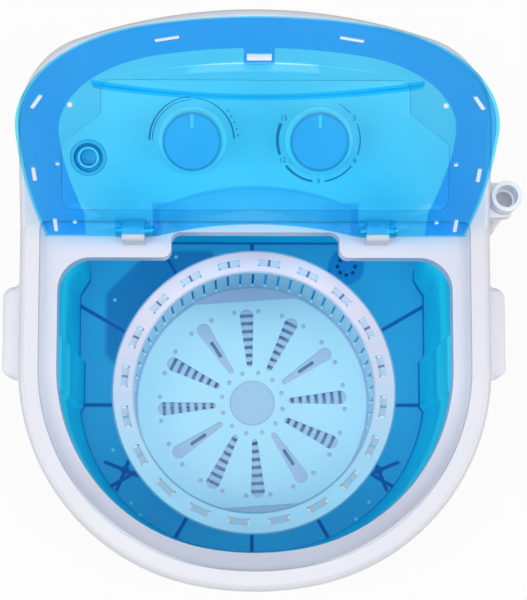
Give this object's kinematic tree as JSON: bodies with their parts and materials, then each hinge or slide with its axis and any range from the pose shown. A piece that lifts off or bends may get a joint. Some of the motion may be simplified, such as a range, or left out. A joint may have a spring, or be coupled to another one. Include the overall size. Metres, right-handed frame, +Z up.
{
  "type": "portable washing machine",
  "caption": "Portable washing machine with a blue wash tub, a lift-out spin basket on a driven pulsator, a hinged clear lid, turning control knobs and a ribbed drain hose.",
  "frame": {"origin": "on the floor under the middle of the casing", "axes": "+X to the right seen from the front, +Y to the rear, +Z up; the front faces -Y"},
  "size_m": [0.4018, 0.4343, 0.7281],
  "materials": {
    "white_casing": "satin white moulding",
    "white_cover": "glossy white moulding",
    "fascia_white": "smooth panel",
    "grey_base": "matt moulding",
    "blue_clear_lid": "clear blue moulding",
    "blue_clear_frame": "clear blue moulding",
    "blue_tub": "translucent blue moulding",
    "pale_blue_basket": "moulded",
    "pale_blue_ring": "moulded",
    "pale_blue_plate": "moulded",
    "blue_pulsator": "moulded",
    "blue_knob": "glossy moulding",
    "clear_hose": "whitish moulding",
    "grey_pipe": "matt moulding",
    "black_plastic": "matt moulding",
    "black_rubber": "matt",
    "zinc_steel": "zinc plated",
    "rotor_steel": "turned",
    "cast_aluminium": "cast",
    "bronze": "sintered",
    "painted_motor": "painted",
    "grey_capacitor": "plain can"
  },
  "bodies": {
    "casing": {"base_pan": "grey_base", "bearing_housing": "cast_aluminium", "bearing_screws": "zinc_steel", "cabinet": "white_casing", "capacitor": "grey_capacitor", "capacitor_cup": "black_plastic", "control_fascia": "fascia_white", "cord_gland": "black_plastic", "drain_elbow": "grey_pipe", "drain_hose": "clear_hose", "drain_pipe": "grey_pipe", "drain_strainer": "blue_pulsator", "drive_belt": "black_rubber", "fill_pipe": "black_rubber", "foot_front_left": "black_rubber", "foot_front_right": "black_rubber", "foot_rear_left": "black_rubber", "foot_rear_right": "black_rubber", "hinge_pin_left": "zinc_steel", "hinge_pin_right": "zinc_steel", "hose_clip_lower": "white_cover", "hose_clip_upper": "white_cover", "hose_cuff": "clear_hose", "lower_bush": "bronze", "motor_body": "painted_motor", "motor_bracket": "zinc_steel", "motor_screws": "zinc_steel", "rear_cover": "white_casing", "rear_cover_screws": "zinc_steel", "rubber_mounts": "black_rubber", "selector_switch": "black_plastic", "shaft_seal": "black_rubber", "side_handle_left": "white_cover", "side_handle_right": "white_cover", "timer_unit": "black_plastic", "top_cover": "white_cover", "tub": "blue_tub", "tub_gasket": "black_rubber", "upper_bush": "bronze", "water_inlet": "white_cover"},
    "lid": {"lid_shell": "blue_clear_lid", "lid_frame": "blue_clear_frame"},
    "selector": {"selector_knob": "blue_knob", "selector_spindle": "zinc_steel"},
    "timer": {"timer_knob": "blue_knob", "timer_spindle": "zinc_steel"},
    "drive": {"drive_shaft": "zinc_steel", "drive_pulley": "cast_aluminium", "pulley_nut": "zinc_steel", "pulsator": "blue_pulsator", "pulsator_screw": "zinc_steel"},
    "basket": {"spin_basket": "pale_blue_basket", "basket_ring": "pale_blue_ring"},
    "plate": {"press_plate": "pale_blue_plate"},
    "motor_spindle": {"motor_rotor": "rotor_steel", "motor_pulley": "cast_aluminium"}
  },
  "joints": [
    {"name": "lid_hinge", "type": "hinge", "parent": "casing", "child": "lid", "pos_m": [0, 0.053, 0.491], "axis": [-1, 0, 0], "range_deg": [-115, 0]},
    {"name": "selector_turn", "type": "hinge", "parent": "casing", "child": "selector", "pos_m": [-0.0475, 0.121, 0.49794], "axis": [0, 0.2739, -0.9618], "range_deg": [-90, 90]},
    {"name": "timer_turn", "type": "hinge", "parent": "casing", "child": "timer", "pos_m": [0.0475, 0.121, 0.49794], "axis": [0, 0.2739, -0.9618], "range_deg": [0, 300]},
    {"name": "drive_spin", "type": "hinge", "parent": "casing", "child": "drive", "pos_m": [0, -0.061, 0.2], "axis": [0, 0, 1], "continuous": true},
    {"name": "motor_spin", "type": "hinge", "parent": "casing", "child": "motor_spindle", "pos_m": [-0.064, 0.013, 0.15], "axis": [0, 0, 1], "continuous": true},
    {"name": "basket_lift", "type": "slide", "parent": "drive", "child": "basket", "axis": [0, 0, 1], "range_m": [0, 0.3]},
    {"name": "plate_lift", "type": "slide", "parent": "basket", "child": "plate", "axis": [0, 0, 1], "range_m": [0, 0.12]}
  ],
  "couplings": [
    {"joint": "motor_spin", "follows": "drive_spin", "ratio": 4.8053}
  ]
}
